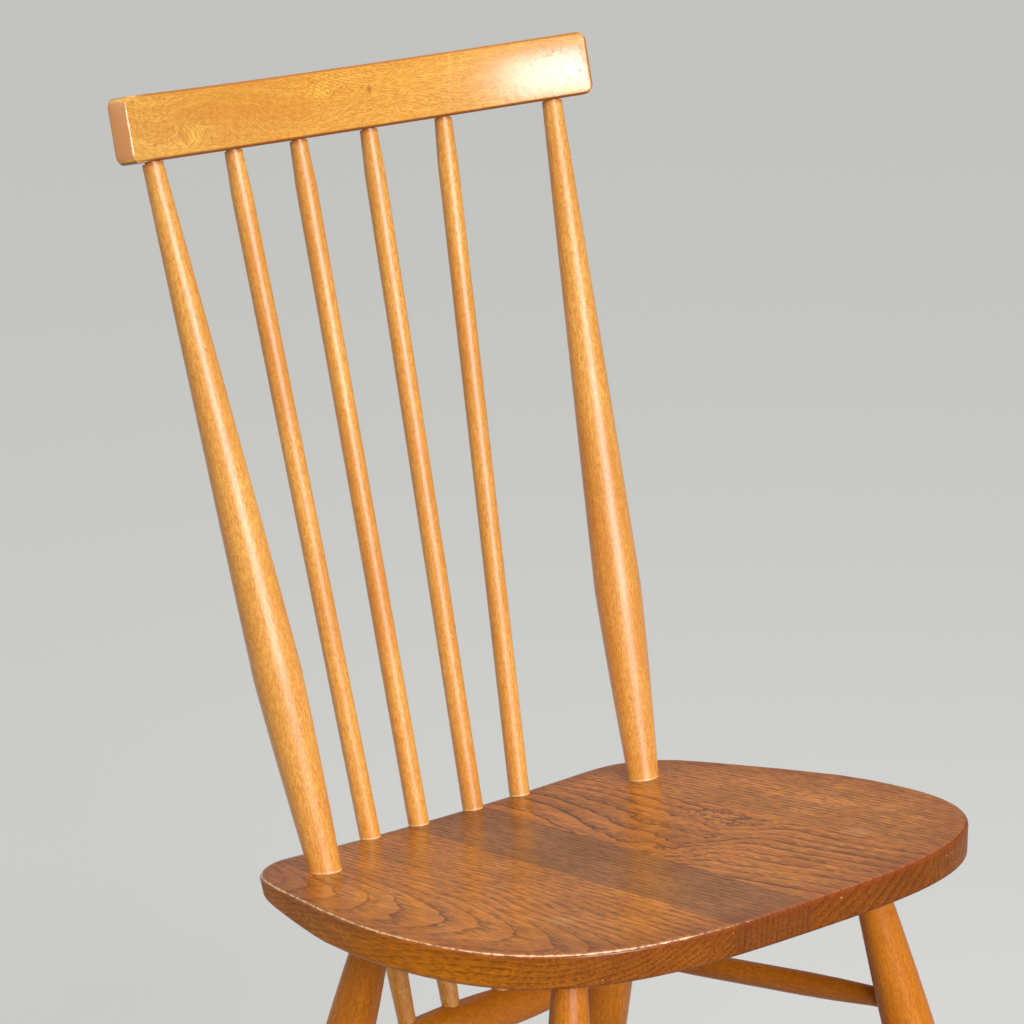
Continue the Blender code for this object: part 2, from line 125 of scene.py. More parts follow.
class BackSettings(PropertyGroup):
    crest_length: length("Rail length", 0.379, "Crest rail from end to end, along its chord")
    crest_height: length("Rail height", 0.0424, "Crest rail from underside to top")
    crest_thickness: length("Rail thickness", 0.0146, "Crest rail from front to back")
    crest_bow: length("Rail bow", 0.0417, "How far the ends stand forward of the middle")
    crest_rake: slant("Rail rake", 9.45, "Backward lean of the crest rail")
    crest_set_back: length("Rail set back", 0.0768, "Middle of the rail behind the sticks' feet")
    crest_rise: length("Rail rise", 0.455, "Underside of the rail over the seat")
    crest_corner: length("Rail corner", 0.0065, "Radius of the rail's corners")
    crest_edge: length("Rail edge", 0.0018, "Rounding along the rail's edges")
    post_base_x: length("Post at the seat", 0.1344, "Out from the middle")
    post_forward: length("Post forward", 0.0473, "In front of the back stick line")
    post_crest_x: length("Post at the rail", 0.1629, "Out from the middle")
    post_base: length("Post base", 0.0214, "Diameter at the seat")
    post_swell: length("Post swell", 0.0318, "Greatest diameter")
    post_top: length("Post top", 0.0136, "Diameter under the crest rail")
    post_swell_share: share("Swell height", 0.28, "Share of the post's length")
    post_taper_power: share("Post taper", 1.08, "Above 1 the taper starts gently")
    post_depth: length("Post socket", 0.0147, "Depth in the seat")
    post_tenon: length("Post tenon", 0.0098, "Diameter in the crest rail")
    inner_foot_x: length("Inner spindle foot", 0.0230, "Out from the middle, at the seat")
    inner_top_x: length("Inner spindle top", 0.0288, "Out from the middle, at the rail")
    outer_foot_x: length("Outer spindle foot", 0.0635, "Out from the middle, at the seat")
    outer_top_x: length("Outer spindle top", 0.0859, "Out from the middle, at the rail")
    spindle: length("Spindle", 0.0141, "Diameter")
    spindle_top: length("Spindle top", 0.0117, "Diameter under the crest rail")
    spindle_foot: length("Spindle foot", 0.0125, "Diameter in the low rail")
    spindle_taper: length("Spindle taper", 0.030, "Length of the tapered ends")
    spindle_tenon: length("Spindle tenon", 0.0090, "Diameter in the crest rail")
    tenon_length: length("Tenon length", 0.0217, "How far sticks reach into the crest rail")
    post_gap: length("Post gap", 0.0007, "From the post's shoulder to the rail's chord")
    spindle_gap: length("Spindle gap", 0.0006, "From a spindle's shoulder to the rail's chord")
    foot_gap: length("Foot gap", 0.0003, "From a spindle's foot to the low rail's axis")
    foot_straight: length("Straight foot", 0.003, "Straight length of a spindle over the low rail")


class BaseSettings(PropertyGroup):
    leg_top: length("Leg top", 0.0206, "Diameter under the seat")
    leg_swell: length("Leg swell", 0.0345, "Greatest diameter")
    leg_foot: length("Leg foot", 0.0215, "Diameter at the floor")
    foot_clear: length("Foot cut", 0.0001, "Height of the saw cut that levels the feet")
    foot_bevel: length("Foot bevel", 0.0006, "Bevel round the sawn feet")
    leg_swell_below: length("Leg swell below seat", 0.130, "Along the leg")
    leg_depth: length("Leg socket", 0.0137, "Depth in the seat")
    leg_neck: length("Leg neck", 0.005, "Straight length under the seat")
    leg_taper_power: share("Leg taper", 1.15, "Above 1 the taper starts gently")
    front_x: length("Front leg out", 0.122, "From the middle, at the seat")
    front_forward: length("Front leg forward", 0.277, "From the stick line, at the seat")
    front_outward: slant("Front leg splay", 10.2, "Outward lean")
    front_lean: slant("Front leg lean", 7.4, "Forward lean")
    back_x: length("Back leg out", 0.1025, "From the middle, at the seat")
    back_forward: length("Back leg forward", 0.0639, "From the stick line, at the seat")
    back_outward: slant("Back leg splay", 5.8, "Outward lean")
    back_lean: slant("Back leg lean", 19.3, "Backward lean")
    side_front_z: length("Side stretcher front", 0.322, "Height at the front leg")
    side_back_z: length("Side stretcher back", 0.304, "Height at the back leg")
    front_z: length("Front stretcher", 0.300, "Height")
    stretcher_end: length("Stretcher end", 0.0130, "Diameter in the legs")
    stretcher: length("Stretcher", 0.0160, "Diameter")
    stretcher_taper: length("Stretcher taper", 0.060, "Length of the tapered ends")
    stretcher_shoulder: share("Stretcher shoulder", 0.7, "Swelling done halfway up a taper")
    short_of_axis: length("End gap", 0.002, "Stretcher ends stop short of a leg's axis")
    rail_z: length("Low rail", 0.284, "Height of the rail that holds the spindles")
    rail_end: length("Low rail end", 0.0140, "Diameter in the legs")
    rail: length("Low rail middle", 0.0285, "Greatest diameter")
    rail_fullness: share("Low rail fullness", 0.8, "Below 1 the rail is fuller near its ends")
    straight_end: length("Straight end", 0.02325, "Straight length at each end")


class FinishSettings(PropertyGroup):
    beech: colour("Beech", (0.90, 0.48, 0.090, 1), "Lacquered sticks and rails")
    beech_deep: colour("Beech shade", (0.58, 0.185, 0.012, 1), "Darker bands in the beech")
    crest: colour("Crest beech", (1.0, 0.600, 0.095, 1), "Paler beech of the crest rail")
    # Flecks of the beech; the same colour is also painted as shade on the sticks' tops under the
    # crest rail
    fleck: colour("Beech fleck", (0.40, 0.105, 0.008, 1), "Short flecks in the beech")
    under: colour("Base beech", (0.72, 0.250, 0.014, 1), "Legs, stretchers and low rail")
    under_deep: colour("Base beech shade", (0.44, 0.115, 0.004, 1), "Darker bands in the base")
    end_grain: colour("Beech end grain", (0.63, 0.265, 0.08, 1), "Ends of the crest rail")
    elm_warm: colour("Warm board", (0.75, 0.252, 0.027, 1), "Left board of the seat")
    elm_brown: colour("Brown board", (0.46, 0.168, 0.034, 1), "Centre left board")
    elm_figured: colour("Figured board", (0.72, 0.238, 0.028, 1), "Centre right board")
    elm_red: colour("Reddish board", (0.77, 0.272, 0.042, 1), "Right board")
    elm_line: colour("Growth line", (0.11, 0.028, 0.004, 1), "Dark growth lines")
    rim_red: colour("Rim stain", (0.20, 0.030, 0.003, 1), "Stain gathered along the seat's rim")
    # Stained end grain round the seat; also painted along the crest rail's underside edge, as
    # stain together with painted shade
    elm_end: colour("End grain", (0.20, 0.042, 0.0025, 1), "Stained end grain round the seat")
    elm_side: colour("Side grain", (1.0, 0.310, 0.003, 1), "Seat's edge at the left and right")
    # Wood where the stain has worn off; along the seat's left rim the same colour is also a
    # painted highlight
    bare_edge: colour("Worn edge", (0.94, 0.62, 0.31, 1), "Wood where the stain has worn off")
    glue: colour("Glue line", (0.85, 0.58, 0.26, 1), "Line round the foot of each stick")
    gloss: share("Gloss", 0.40, "Roughness of the lacquer on the sticks")
    rail_gloss: share("Rail gloss", 0.20, "Roughness of the lacquer on the crest rail")
    seat_gloss: share("Seat gloss", 0.26, "Roughness of the lacquer on the seat")


class StageSettings(PropertyGroup):
    floor: colour("Floor", (0.67, 0.67, 0.64, 1), "Floor as the camera sees it")
    bounce: colour("Floor bounce", (0.16, 0.12, 0.09, 1), "Floor as it lights the chair")
    horizon: share("Light at the horizon", 0.50, "Brightness of the studio, level with the chair")
    middle: share("Light above", 0.27, "Brightness of the studio over the horizon")
    ceiling: share("Light overhead", 1.15, "Brightness of the studio's ceiling")
    key_power: share("Main light", 30.5, "Power of the large soft light in front, in watts")
    fill_power: share("Side light", 2.0, "Power of the soft light at the left, in watts")
    spread: slant("Light spread", 90.0, "How wide the lights fan out, which keeps the floor dim")
    lens: share("Lens", 139.37, "Focal length in millimetres")
    camera_turn: slant("Camera turn", 38.03, "Turned to the right of straight ahead")
    camera_pitch: slant("Camera pitch", 12.79, "Looking down")
    camera_roll: slant("Camera roll", -3.39, "Turned about the line of sight")


# Shapes
def seat_plane(seat, y):
    """Height of the seat's sloping plane, which its dish and back roll start from."""
    return seat.height - y * math.tan(seat.slope)


def seat_top(seat, x, y):
    rise = seat.dish * (x / seat.front_half) ** 2
    rolled = max(0.0, (y + seat.back_roll - seat.back) / seat.back_roll)
    return seat_plane(seat, y) + rise - seat.back_drop * rolled ** 2


def eased(start, end, amount):
    """Value between two others that leaves the one and reaches the other gently."""
    amount = min(max(amount, 0.0), 1.0)
    return start + (end - start) * amount * amount * (3 - 2 * amount)


def seat_outline(seat, inset):
    """Plan of the seat drawn in by an inset, as (x, y) points counterclockwise."""
    depth = (seat.front + seat.back) / 2
    middle = (seat.back - seat.front) / 2
    points = []
    for index in range(seat.outline_points):
        angle = math.tau * index / seat.outline_points
        across, back = math.cos(angle), math.sin(angle)
        power = 2 / (seat.back_power if back > 0 else seat.front_power)
        y = middle + (depth - inset) * math.copysign(abs(back) ** power, back)
        narrowing = (-y - seat.narrow_to) / (seat.narrow_from - seat.narrow_to)
        half = eased(seat.back_half, seat.front_half, narrowing) - inset
        points.append((half * math.copysign(abs(across) ** power, across), y))
    return points


def rim_height(seat, x, y):
    """Height of the seat's upright edge, from the top down."""
    extra = seat.side_rim_extra * (x / seat.front_half) ** 2
    return eased(seat.back_rim, seat.front_rim, -y / seat.full_rim_from) + extra


def seat_thickness(seat, x, y):
    """From the top of the seat down to its flat underside."""
    return seat_top(seat, x, y) - seat_plane(seat, y) + seat.thickness


def evenly(start, end, steps):
    """Even steps from a start, left out, to an end."""
    return [start + (end - start) * index / steps for index in range(1, steps + 1)]


def seat_rings(seat):
    """Rings from the middle of the top over the rim to the underside.

    Each has its points, how far it lies on a rounded edge, where wear and a painted highlight go,
    how far it belongs to the upright band, and how dark the stain lies on it near the rim.
    """
    def lowered(inset, drop):
        """Ring drawn in by an inset, and under the top surface by the drop at each point."""
        return [(x, y, seat_top(seat, x, y) - drop(x, y)) for x, y in seat_outline(seat, inset)]

    rings = []
    middle = (seat.back - seat.front) / 2
    # Shares of the way from the middle out to the rim
    innermost, near_rim, stain_from = 0.02, 0.86, 0.84
    for amount in [innermost] + evenly(innermost, near_rim, 18) + evenly(near_rim, 1.0, 9):
        ring = [(amount * x, middle + amount * (y - middle))
                for x, y in seat_outline(seat, seat.rim_round)]
        points = [(x, y, seat_top(seat, x, y)) for x, y in ring]
        stain = eased(0.0, 1.0, (amount - stain_from) / (1.0 - stain_from))
        rings.append((points, 0.0, 0.0, stain))
    quarter_turn = evenly(0.0, math.pi / 2, 6)
    for angle in quarter_turn:
        inset = seat.rim_round * (1 - math.sin(angle))
        ring = lowered(inset, lambda x, y: seat.rim_round * (1 - math.cos(angle)))
        rings.append((ring, math.sin(2 * angle), math.sin(angle) ** 2, 1.0))
    lower_inset = seat.rim_round / 3
    for amount in evenly(0.0, 1.0, 3):
        ring = lowered(lower_inset * amount, lambda x, y: seat.rim_round
                       + (rim_height(seat, x, y) - 2 * seat.rim_round) * amount)
        rings.append((ring, 0.0, 1.0, 0.0))
    lower_edge_wear = 0.3
    for angle in quarter_turn[:-1]:
        inset = lower_inset + (seat.rim_round - lower_inset) * (1 - math.cos(angle))
        ring = lowered(inset, lambda x, y: rim_height(seat, x, y)
                       - seat.rim_round * (1 - math.sin(angle)))
        rings.append((ring, lower_edge_wear * math.sin(2 * angle), 1.0, 0.0))
    for amount in [0.0] + evenly(0.0, 1.0, 3):
        inset = seat.rim_round + (seat.under_chamfer - seat.rim_round) * amount
        ring = lowered(inset, lambda x, y: rim_height(seat, x, y) * (1 - amount)
                       + seat_thickness(seat, x, y) * amount)
        rings.append((ring, 0.0, 1.0 - amount, 0.0))
    return rings


def facing_front(outline):
    """How far each point of an outline faces the front or back, where the end grain shows."""
    shares = []
    for before, after in zip(outline[-1:] + outline[:-1], outline[1:] + outline[:1]):
        run = math.hypot(after[0] - before[0], after[1] - before[1])
        shares.append(abs(after[0] - before[0]) / run)
    return shares


def crest_point(back, seat, x, height, forward):
    """Point of the bowed rail: x along it, height over its underside, forward of its middle."""
    up = Vector((0.0, math.sin(back.crest_rake), math.cos(back.crest_rake)))
    ahead = Vector((0.0, -math.cos(back.crest_rake), math.sin(back.crest_rake)))
    half = back.crest_length / 2
    slope = 2 * back.crest_bow * x / half ** 2
    outward = (Vector((-slope, 0.0, 0.0)) + ahead).normalized()
    foot = Vector((x, back.crest_set_back, seat.height + back.crest_rise))
    return foot + ahead * back.crest_bow * (x / half) ** 2 + up * height + outward * forward


def stick_line(back, seat, foot_x, forward, top_x):
    """Where a stick leaves the seat, and where it meets the underside of the crest rail."""
    foot = Vector((foot_x, -forward, seat_top(seat, foot_x, -forward)))
    return foot, crest_point(back, seat, top_x, 0.0, 0.0)


def leg_line(seat, side, x, forward, outward, lean):
    """Point on the leg's axis at the underside of the seat, and its downward direction."""
    top = Vector((side * x, -forward, seat_plane(seat, -forward) - seat.thickness))
    return top, Vector((side * math.tan(outward), math.tan(lean), -1.0))


def front_leg_line(base, seat, side):
    return leg_line(seat, side, base.front_x, base.front_forward, base.front_outward,
                    -base.front_lean)


def back_leg_line(base, seat, side):
    return leg_line(seat, side, base.back_x, base.back_forward, base.back_outward,
                    base.back_lean)


def at_height(line, height):
    top, down = line
    return top + down * (top.z - height)


def straight(amount):
    return amount


def swelled(amount):
    """Nearly straight taper that rounds over gently where it reaches full width."""
    return 0.4 * math.sin(amount * math.pi / 2) + 0.6 * amount


def turned_profile(*rows):
    """Distance and radius of every ring of a turned piece, from its start.

    A row has a distance and a diameter. Where a taper leads there, the number of its rings
    follows, and the shape that its width takes on the way.
    """
    profile = []
    for distance, width, *taper in rows:
        steps, shape = taper or (1, straight)
        start, radius = profile[-1] if profile else (distance, width / 2)
        profile += [(start + (distance - start) * amount,
                     radius + (width / 2 - radius) * shape(amount))
                    for amount in evenly(0.0, 1.0, steps)]
    return profile


# Modelling
def start_piece():
    if bpy.context.object and bpy.context.object.mode != "OBJECT":
        bpy.ops.object.mode_set(mode="OBJECT")
    bpy.ops.object.select_all(action="DESELECT")


def pick(piece):
    """Makes a piece the only selected one, and the active one."""
    start_piece()
    piece.select_set(True)
    bpy.context.view_layer.objects.active = piece


def edit(piece, select_mode):
    """Opens a piece in edit mode with nothing selected and returns its bmesh."""
    pick(piece)
    bpy.ops.object.mode_set(mode="EDIT")
    bpy.ops.mesh.select_mode(type=select_mode)
    bpy.ops.mesh.select_all(action="DESELECT")
    return bmesh.from_edit_mesh(piece.data)


def select_edges(piece, test):
    mesh = edit(piece, "EDGE")
    for edge in mesh.edges:
        edge.select_set(test(edge))
    bmesh.update_edit_mesh(piece.data)


def saw(piece, place, facing):
    """Saws a piece through along a plane and keeps the side that the plane faces."""
    edit(piece, "FACE")
    bpy.ops.mesh.select_all(action="SELECT")
    bpy.ops.mesh.bisect(plane_co=place, plane_no=facing, use_fill=True, clear_inner=True)


def store_places(piece, places):
    """Stores each point's place in the wood, which the grain follows."""
    attribute = piece.data.attributes.new("wood_place", "FLOAT_VECTOR", "POINT")
    attribute.data.foreach_set("vector", [part for place in places for part in place])


def store_numbers(piece, name, numbers):
    attribute = piece.data.attributes.new(name, "FLOAT", "POINT")
    attribute.data.foreach_set("value", numbers)


TURNED_SIDES = 48
# Each turned piece has a number, counted from these, and its own stretch of wood by it
GRAIN_TURN, GRAIN_STRETCH = math.tau * 0.382, 0.61
POST_NUMBER, SPINDLE_NUMBER, LEG_NUMBER, BAR_NUMBER, LOW_RAIL_NUMBER = 1, 3, 11, 20, 30
SMOOTH_ANGLE = math.radians(35)


def turned_piece(name, start, direction, profile, number):
    """Cylinder cut into rings, each put at its distance and width along the piece's axis."""
    start_piece()
    bpy.ops.mesh.primitive_cylinder_add(vertices=TURNED_SIDES, radius=profile[0][1], depth=1.0)
    piece = bpy.context.object
    piece.name = piece.data.name = name
    select_edges(piece, lambda edge: abs(edge.verts[0].co.z - edge.verts[1].co.z) > 0.5)
    bpy.ops.mesh.subdivide(number_cuts=len(profile) - 2)
    mesh = bmesh.from_edit_mesh(piece.data)
    for vert in mesh.verts:
        distance, radius = profile[round((vert.co.z + 0.5) * (len(profile) - 1))]
        across = Vector((vert.co.x, vert.co.y, 0.0)).normalized() * radius
        vert.co = Vector((across.x, across.y, distance))
    bmesh.update_edit_mesh(piece.data)
    bpy.ops.object.mode_set(mode="OBJECT")
    turn = Matrix.Rotation(GRAIN_TURN * number, 4, "Z")
    apart = Vector((0.0, 0.0, GRAIN_STRETCH * number))
    store_places(piece, [turn @ vert.co + apart for vert in piece.data.vertices])
    axis = Vector((0.0, 0.0, 1.0)).rotation_difference(direction.normalized())
    piece.matrix_world = Matrix.Translation(start) @ axis.to_matrix().to_4x4()
    bpy.ops.object.transform_apply(location=True, rotation=True, scale=True)
    return piece


def finish_piece(piece, material, slot, *nodes):
    """Puts a piece at its place over the floor, smooths it, gives it its material and hides its
    CAD nodes.
    """
    pick(piece)
    piece.location.y += cad_low.y + bpy.context.scene.chair_seat.front
    bpy.ops.object.transform_apply(location=True, rotation=True, scale=True)
    bpy.ops.object.shade_smooth_by_angle(angle=SMOOTH_ANGLE)
    piece.data.materials.clear()
    piece.data.materials.append(material)
    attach(piece, "root")
    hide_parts(*nodes)


def mark_stick_ends(piece, seat, foot, axis, shoulder):
    """Stores how far each point is above the seat's surface, and how far below the shoulder."""
    places = [vert.co for vert in piece.data.vertices]
    level_back = seat.back - seat.back_roll
    store_numbers(piece, "over_seat", [place.z - seat_top(seat, place.x, min(place.y, level_back))
                                       for place in places])
    along = axis.normalized()
    store_numbers(piece, "under_rail", [shoulder - (place - foot).dot(along)
                                        for place in places])


# Shader values
class Value:
    """Output of a shader node. A sum or product of values adds its own node to their tree."""

    def __init__(self, socket):
        self.socket, self.tree = socket, socket.id_data

    def calc(self, operation, *others):
        """Maths node on this value and others, part by part where it is a vector."""
        vector = self.socket.type == "VECTOR"
        made = add_node(self.tree, "VectorMath" if vector else "Math", (self,) + others,
                        operation=operation)
        return Value(made.outputs["Vector" if vector and operation != "LENGTH" else "Value"])

    def __add__(self, other):
        return self.calc("ADD", other)

    def __sub__(self, other):
        return self.calc("SUBTRACT", other)

    def __mul__(self, other):
        return self.calc("MULTIPLY", other)

    def __truediv__(self, other):
        return self.calc("DIVIDE", other)

    def __pow__(self, other):
        return self.calc("POWER", other)

    def __abs__(self):
        return self.calc("ABSOLUTE")


def feed(socket, source):
    """Links a value to a socket, or sets the socket where the source is a plain one."""
    if isinstance(source, Value):
        source.tree.links.new(source.socket, socket)
    else:
        socket.default_value = source


def add_node(tree, kind, sources=(), **settings):
    """Shader node with its inputs fed in their order, or by name or number from a dict."""
    made = tree.nodes.new("ShaderNode" + kind)
    for key, setting in settings.items():
        setattr(made, key, setting)
    for key, source in sources.items() if isinstance(sources, dict) else enumerate(sources):
        feed(made.inputs[key], source)
    return made


def split(vector):
    """X, Y and Z of a vector."""
    return [Value(part) for part in add_node(vector.tree, "SeparateXYZ", (vector,)).outputs]


def combine(x, y, z):
    return Value(add_node(x.tree, "CombineXYZ", (x, y, z)).outputs[0])


def stretch(vector, across, along):
    """Wood pattern coordinates: repeats per metre across the grain and along it, which is Z."""
    return vector * (across, across, along)


def noise(vector, detail=2.0, roughness=0.5, scale=1.0, distortion=0.0):
    sources = {"Vector": vector, "Scale": scale, "Detail": detail, "Roughness": roughness,
               "Distortion": distortion}
    return Value(add_node(vector.tree, "TexNoise", sources).outputs["Fac"])


def cells(vector):
    """Distance to the middle of the nearest cell, and a random number for each cell."""
    made = add_node(vector.tree, "TexVoronoi", {"Vector": vector, "Scale": 1.0})
    return Value(made.outputs["Distance"]), split(Value(made.outputs["Color"]))[0]


def step(value, low, high, to_low=0.0, to_high=1.0):
    """Smooth step of a value between two edges."""
    made = add_node(value.tree, "MapRange", (value, low, high, to_low, to_high),
                    interpolation_type="SMOOTHSTEP")
    return Value(made.outputs[0])


def ridge(value, start, top_from, top_to, end):
    """0 up to a start and past an end, and 1 on the top between them, with smooth flanks."""
    return step(value, start, top_from) * step(value, end, top_to)


def layered(base, *coats):
    """Colour with coats over it, each of them a share from 0 to 1 and a colour."""
    for amount, coat in coats:
        made = add_node(amount.tree, "Mix", {0: amount, 6: base, 7: coat}, data_type="RGBA")
        base = Value(made.outputs[2])
    return base


def stored(tree, name, output="Fac"):
    """Number, or with "Vector" the vector, that a piece's points store under a name."""
    return Value(add_node(tree, "Attribute", attribute_name=name).outputs[output])


def socket_name(key):
    return key.replace("_", " ").capitalize()


def make_group(name, build):
    """Node group with the build function's arguments as inputs and its results as outputs."""
    group = bpy.data.node_groups.new(name, "ShaderNodeTree")
    arguments = inspect.signature(build).parameters
    for key, argument in arguments.items():
        kind = "NodeSocketVector" if isinstance(argument.default, tuple) else "NodeSocketFloat"
        socket = group.interface.new_socket(name=socket_name(key), in_out="INPUT",
                                            socket_type=kind)
        socket.default_value = argument.default
    inputs = group.nodes.new("NodeGroupInput").outputs
    results = build(*(Value(inputs[socket_name(key)]) for key in arguments))
    for key in results:
        group.interface.new_socket(name=key, in_out="OUTPUT", socket_type="NodeSocketFloat")
    outputs = group.nodes.new("NodeGroupOutput").inputs
    for key, result in results.items():
        feed(outputs[key], result)
    return group


def effect(build, place, **values):
    """Places the node group that a function builds, made once, and returns its outputs."""
    name = socket_name(build.__name__)
    group = bpy.data.node_groups.get(name) or make_group(name, build)
    sources = {socket_name(key): source for key, source in dict(values, place=place).items()}
    made = add_node(place.tree, "Group", sources, node_tree=group)
    return {socket.name: Value(socket) for socket in made.outputs}


# Wood effects shared by the materials, each built into a node group
ORIGIN = (0.0, 0.0, 0.0)


def wood_fibre(place=ORIGIN):
    """Fine streaks along the grain and slow drifts of tone."""
    fine = noise(stretch(place, 620.0, 26.0), detail=3.0, roughness=0.65)
    broad = noise(stretch(place, 190.0, 5.0))
    drift = noise(stretch(place, 24.0, 6.0))
    return {"Streak": step(fine * 0.55 + broad * 0.45, 0.38, 0.62),
            "Drift": step(drift, 0.34, 0.66)}


def beech_flecks(place=ORIGIN):
    """Short spindle shaped flecks of beech, gathered more in some places than in others."""
    kinds = []
    for across, along, reach, rare in ((520.0, 190.0, 0.32, 0.45), (860.0, 400.0, 0.46, 0.10)):
        distance, chance = cells(stretch(place, across, along))
        kinds.append(step(distance, reach, reach * 0.4) * step(chance, rare, rare + 0.4))
    thick = step(noise(stretch(place, 70.0, 18.0)), 0.42, 0.66)
    mottle = noise(stretch(place, 860.0, 210.0), detail=3.0, roughness=0.65)
    return {"Fleck": kinds[0] * (thick * 0.8 + 0.2), "Stipple": kinds[1],
            "Mottle": step(mottle, 0.40, 0.62)}


def growth_rings(place=ORIGIN, pith_x=0.0, pith_z=0.5, lean=0.0, climb=0.0, ring_width=0.004,
                 wander=0.003, turmoil=0.0, bulge=0.0, bulge_front=-0.1, bulge_peak=0.0,
                 bulge_back=0.1, bulge_edge=0.1):
    """Growth rings round a pith line that runs front to back, bulging sideways past a curl."""
    x, y, z = split(place)
    grain = combine(x, z, y)
    slow = noise(stretch(grain, 15.0, 6.0), detail=1.0, roughness=0.4)
    quick = noise(stretch(grain, 70.0, 30.0))
    ahead, behind = step(y, bulge_front, bulge_peak), step(y, bulge_back, bulge_peak)
    torn = behind ** 3.0 * (ahead * turmoil)
    strayed = ((slow - 0.5) * 4.0 + (quick - 0.5) * (torn + 1.0)) * wander
    pushed = ahead * behind * (step(x, bulge_edge, 0.0) * bulge)
    across = x + pushed - pith_x - y * lean
    below = z - pith_z + y * climb
    radius = (across * across + below * below).calc("SQRT")
    count = (radius + strayed) / ring_width
    made = add_node(count.tree, "TexWhiteNoise", {"W": count.calc("FLOOR")},
                    noise_dimensions="1D")
    chance = Value(made.outputs["Value"])
    part = count.calc("FRACT")
    strong = chance * 0.5 + 0.5
    line = ridge(part, 0.0, 0.04, 0.09, 0.17)
    shade = ridge(part, 0.0, 0.08, 0.1, 0.85)
    dash = step(noise(stretch(grain, 620.0, 95.0), detail=1.5), 0.44, 0.56)
    return {"Line": line * strong, "Shade": shade * strong, "Pore": dash * (shade * 0.6 + 0.4),
            "Tone": chance}


def spot(place=ORIGIN, centre=ORIGIN, size=(0.01, 0.01, 0.01), ragged=0.4):
    """Ragged oval spot at a place."""
    away = ((place - centre) / size).calc("LENGTH")
    rough = noise(place / size, detail=3.0, roughness=0.6, scale=1.4)
    return {"Mask": step(away + (rough - 0.5) * ragged * 2.0, 1.0, 0.45)}


def wear(place=ORIGIN, edge=0.0, amount=0.5):
    """Broken line along an edge, and small chips and scratches anywhere."""
    broken = noise(stretch(place, 170.0, 170.0), detail=5.0, roughness=0.7)
    level = edge * (amount * 0.26 + 0.38)
    distance, chance = cells(place * (150.0, 260.0, 320.0))
    return {"Worn": step(broken - level, 0.06, -0.06),
            "Nick": step(distance, 0.17, 0.08) * step(chance, 0.88, 0.99)}


# Materials
def start_material(name):
    made = bpy.data.materials.new(name)
    made.use_nodes = True
    return made, made.node_tree


def mask(place, centre, size, ragged):
    """Ragged oval spot: 1 in its middle and 0 outside it."""
    return effect(spot, place, centre=centre, size=size, ragged=ragged)["Mask"]


def lacquer(base, height, roughness, gloss, coat=1.0, strength=0.20, depth=0.0002):
    """Finishes a material: wood of a colour and relief under a coat of lacquer."""
    relief = add_node(height.tree, "Bump", {"Strength": strength, "Distance": depth,
                                            "Height": height})
    shader = height.tree.nodes["Principled BSDF"]
    for name, source in (("Base Color", base), ("Roughness", roughness),
                         ("Normal", Value(relief.outputs["Normal"])), ("Coat Weight", coat),
                         ("Specular IOR Level", 0.08), ("Coat Roughness", gloss),
                         ("Coat IOR", 1.6)):
        feed(shader.inputs[name], source)


def beech(place, light, deep, fleck, drift=0.5, mottled=0.62):
    """Colour, relief and roughness of beech with its grain along Z of the given place."""
    fibre, flecks = effect(wood_fibre, place), effect(beech_flecks, place)
    base = layered(light, (fibre["Drift"] * drift, deep), (fibre["Streak"] * 0.35, deep),
                   (flecks["Mottle"] * mottled, deep), (flecks["Stipple"] * 0.42, fleck),
                   (flecks["Fleck"] * 0.70, fleck))
    height = fibre["Streak"] * 0.5 - (flecks["Fleck"] + flecks["Stipple"])
    return base, height, fibre["Drift"] * 0.10 + 0.34


def stick_beech(name, finish):
    """Honey beech of the back's sticks: glue line round their feet, painted shade at their tops
    under the crest rail.
    """
    made, tree = start_material(name)
    base, height, rough = beech(stored(tree, "wood_place", "Vector"), finish.beech,
                                finish.beech_deep, finish.fleck)
    line = ridge(stored(tree, "over_seat"), -0.0020, -0.0010, 0.0005, 0.0010)
    # Painted shade: the top few millimetres of each stick, under the crest rail, darkened with the
    # fleck colour
    shaded = step(stored(tree, "under_rail"), 0.0030, 0.0004, 0.0, 0.75)
    base = layered(base, (line * 0.75, finish.glue), (shaded, finish.fleck))
    lacquer(base, height, rough, finish.gloss)
    return made


def under_beech(name, finish):
    """Deeper orange beech of the legs, stretchers and low rail."""
    made, tree = start_material(name)
    base, height, rough = beech(stored(tree, "wood_place", "Vector"), finish.under,
                                finish.under_deep, finish.fleck)
    lacquer(base, height, rough, finish.gloss, coat=0.32)
    return made


# Old marks on the front of the crest rail: centre (height from the middle, 0, along the rail),
# half size, strength and raggedness.
CREST_MARKS = (
    ((0.0044, 0.0, 0.0300), (0.0042, 0.02, 0.0026), 0.70, 0.35),
    ((0.0172, 0.0, -0.1824), (0.0016, 0.02, 0.0030), 0.60, 0.50),
    ((-0.0112, 0.0, -0.1667), (0.0012, 0.02, 0.0030), 0.55, 0.50),
    ((-0.0030, 0.0, -0.1150), (0.0008, 0.02, 0.0016), 0.45, 0.50),
    ((0.0120, 0.0, 0.1480), (0.0008, 0.02, 0.0014), 0.45, 0.50),
)


